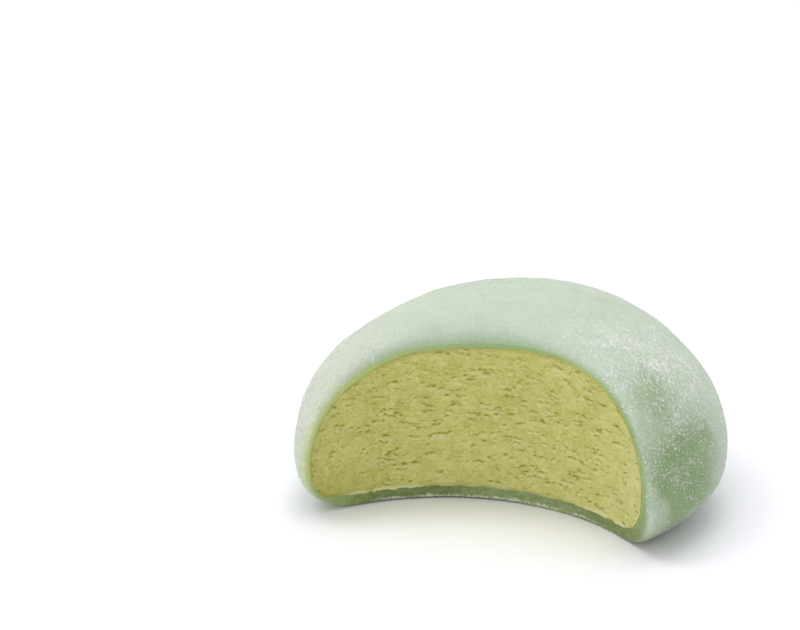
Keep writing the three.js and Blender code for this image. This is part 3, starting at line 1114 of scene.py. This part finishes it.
def starch_line(nodes, foot_edge):
    """A broken, wavy line of starch on the foot's edge."""
    broken = nodes.ramp(nodes.noise(0.4, detail=4.0, roughness=0.75), 0.42, 0.58)
    wavy = nodes.math("MULTIPLY_ADD", nodes.noise(1.6, detail=2.0), -0.9 * MM, nodes.axes["Z"])
    height = nodes.times(nodes.beyond("Z", 0.16, 0.3), nodes.ramp(wavy, 0.18 * MM, -0.08 * MM))
    stretch = nodes.times(nodes.beyond("X", -14.5, -12.0), nodes.beyond("X", 15.0, 8.0))
    return nodes.times(height, stretch, foot_edge, broken)


def skin_material():
    """Rice dough under starch: the dough shows green where the starch is thin, and on the cut edge."""
    nodes = Nodes("rice_skin")
    powder, foot_edge = nodes.attribute("powder"), nodes.attribute("foot_edge")
    cloud = nodes.noise(2.6, detail=4.0)
    cover = starch_cover(nodes, powder)
    # Painted shadow: the lowest strip of the foot's edge, left of the middle, is darkened where it is cut
    # under.
    painted_undercut_shadow = nodes.times(nodes.beyond("Z", 0.26, 0.16), foot_edge, nodes.beyond("X", 5.0, -3.0))
    colour = nodes.layered(
        dough_colour(nodes, cloud),
        (cover, 1.0, starch_colour(nodes, cloud)),
        (nodes.attribute("glow"), 1.0, glow_colour(nodes)),
        (starch_specks(nodes, powder), 1.0, srgb(226, 232, 224)),
        (starch_streaks(nodes), 0.42, srgb(236, 240, 234)),
        (starch_line(nodes, foot_edge), 0.85, srgb(216, 220, 208)),
        (painted_undercut_shadow, 0.7, srgb(92, 90, 66)),
    )
    grit = nodes.times(nodes.noise(0.16, detail=5.0, roughness=0.75), nodes.scaled(cover, 0.2, 1.0))
    return nodes.finish(
        colour,
        nodes.scaled(cover, 0.5, 0.8),
        nodes.bump(grit, 0.08),
        specular=0.35,
        soft=(0.3, (1.0, 1.3, 0.6), 0.7),
    )


def cream_colour(nodes, grain, ledge):
    """Olive yellow in clouds. Painted shade makes it deeper in the cracks, the pits, the lower left corner,
    where it touches the skin and low on the ledges; painted light makes it lighter in the low middle, towards
    the right, on the pits' sills and high on the ledges and grains.
    """
    # The cracks are only painted: painted shade where their noise is low.
    painted_crack_shade = nodes.noise(0.26, detail=5.0, roughness=0.75, stretch=(1.0, 1.0, 2.2))
    # Painted light: lighter in the low middle of the face.
    low_middle_painted_light = nodes.times(nodes.beyond("X", -14.0, -5.0), nodes.beyond("Z", 14.0, 5.0))
    # Painted shade: darker in the lower left corner.
    corner = nodes.times(nodes.beyond("X", -11.0, -18.0), nodes.beyond("Z", 7.0, 2.0))
    # Painted shade: darker at the rim, where the cream meets the skin, fading out towards the right.
    rim = nodes.times(nodes.ramp(nodes.attribute("rim"), 0.1, 1.0), nodes.beyond("X", 14.0, 2.0))
    return nodes.layered(
        nodes.mix(nodes.ramp(nodes.noise(1.7, detail=4.0), 0.3, 0.7), *CREAM),
        # The ledge and grain noises also make the bump: painted shade where the ledges are low, painted
        # highlights where they and the grains are high.
        (nodes.ramp(ledge, 0.48, 0.28), 1.0, srgb(184, 179, 72)),
        (nodes.ramp(ledge, 0.52, 0.72), 1.0, srgb(223, 222, 160)),
        (nodes.ramp(grain, 0.56, 0.7), 0.8, srgb(230, 229, 172)),
        (nodes.ramp(painted_crack_shade, 0.45, 0.37), 0.6, srgb(172, 161, 50)),
        (low_middle_painted_light, 0.12, srgb(230, 230, 160)),
        # Painted light: lighter towards the right end.
        (nodes.beyond("X", 8.0, 18.0), 0.28, srgb(224, 223, 158)),
        # Painted highlight on the pits' sills.
        (nodes.attribute("sill_highlight"), 0.5, srgb(222, 222, 170)),
        (rim, 0.5, srgb(170, 166, 84)),
        (corner, 0.5, srgb(170, 168, 68)),
        (nodes.attribute("shade"), 1.0, srgb(158, 143, 22)),
        (nodes.attribute("crumb"), 0.85, srgb(226, 228, 172)),
    )


def cream_material():
    """Airy frozen cream."""
    nodes = Nodes("frozen_cream")
    grain = nodes.noise(0.22, detail=4.0, roughness=0.7, stretch=(1.0, 1.0, 1.4))
    ledge = nodes.noise(0.5, detail=5.0, roughness=0.65, stretch=(1.0, 1.0, 1.8))
    relief = nodes.math("MULTIPLY_ADD", grain, 0.5, ledge)
    return nodes.finish(
        cream_colour(nodes, grain, ledge),
        nodes.scaled(grain, 0.55, 0.75),
        nodes.bump(relief, 0.33),
        specular=0.3,
        soft=(0.2, (1.0, 0.9, 0.35), 0.5),
    )


def grain_material(name, colours):
    nodes = Nodes(name)
    return nodes.finish(
        nodes.mix(nodes.noise(1.1, detail=3.0), *colours),
        nodes.scaled(nodes.noise(0.4), 0.4, 0.7),
        soft=(0.3, (1.0, 1.0, 1.0), 0.1),
    )


def floor_material():
    nodes = Nodes("studio_floor")
    colour = nodes.mix(nodes.noise(180.0, detail=2.0), *FLOOR)
    return nodes.finish(colour, nodes.scaled(nodes.noise(40.0), 0.6, 0.7), specular=0.2)


# ---- the studio

CAMERA_PLACE = Vector((143.64, -407.54, 184.32)) * MM
CAMERA_AIM = Vector((-12.14, -6.97, 20.38)) * MM
CAMERA_LENS = 192.57
SENSOR_WIDTH = 36.0
CLIP_START = 0.01
CLIP_END = 20.0

# Soft boxes that face the middle of the cake: name, place and size in metres and power in watts.
SUBJECT = Vector((0.0, 0.0, 8.0)) * MM
LIGHTS = (
    ("top", (0.0, 0.05, 1.05), 0.7, 2.65),
    ("left_high", (-0.5, -0.1, 0.9), 0.5, 2.27),
    ("back_high", (0.0, 0.5, 0.9), 0.7, 0.97),
    ("back_low", (0.0, 1.0, 0.45), 0.8, 1.34),
    ("right", (1.2, 0.0, 0.8), 1.6, 0.54),
    ("front_low", (-0.2, -1.3, 0.35), 1.0, 4.16),
)
WORLD_STRENGTH = 0.68
FLOOR_HALF = 1.5


def turned_to(place, target):
    return (target - place).to_track_quat("-Z", "Y").to_euler()


def build_camera():
    data = bpy.data.cameras.new("camera")
    data.lens = CAMERA_LENS
    data.sensor_width = SENSOR_WIDTH
    data.clip_start = CLIP_START
    data.clip_end = CLIP_END
    camera = new_object("camera", data)
    camera.location = CAMERA_PLACE
    camera.rotation_euler = turned_to(CAMERA_PLACE, CAMERA_AIM)
    bpy.context.scene.camera = camera


def build_light(name, place, size, power):
    data = bpy.data.lights.new(name, "AREA")
    data.shape = "DISK"
    data.size = size
    data.energy = power
    light = new_object(name, data)
    light.location = place
    light.rotation_euler = turned_to(Vector(place), SUBJECT)


def build_floor():
    mesh = bpy.data.meshes.new("floor")
    corners = [(x * FLOOR_HALF, y * FLOOR_HALF, 0) for x, y in ((-1, -1), (1, -1), (1, 1), (-1, 1))]
    mesh.from_pydata(corners, [], [(0, 1, 2, 3)])
    floor = new_object("floor", mesh)
    floor.data.materials.append(floor_material())


def build_world():
    world = bpy.data.worlds.new("studio")
    world.use_nodes = True
    background = world.node_tree.nodes["Background"]
    background.inputs["Color"].default_value = (1.0, 1.0, 1.0, 1.0)
    background.inputs["Strength"].default_value = WORLD_STRENGTH
    bpy.context.scene.world = world


# ---- putting it together


def dress(piece, material):
    piece.data.materials.append(material)
    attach(piece, "root")


skin, surface = build_skin()
dress(skin, skin_material())
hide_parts("mochi_skin")

filling = build_filling()
dress(filling, cream_material())
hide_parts("cream_filling")

dust, grains, flakes = build_grains(surface)
starch = grain_material("starch_grain", GRAIN)
dress(dust, starch)
dress(grains, starch)
dress(flakes, grain_material("starch_flake", FLAKE))

build_camera()
build_floor()
build_world()
for light in LIGHTS:
    build_light(*light)
bpy.context.scene.view_settings.view_transform = "Standard"
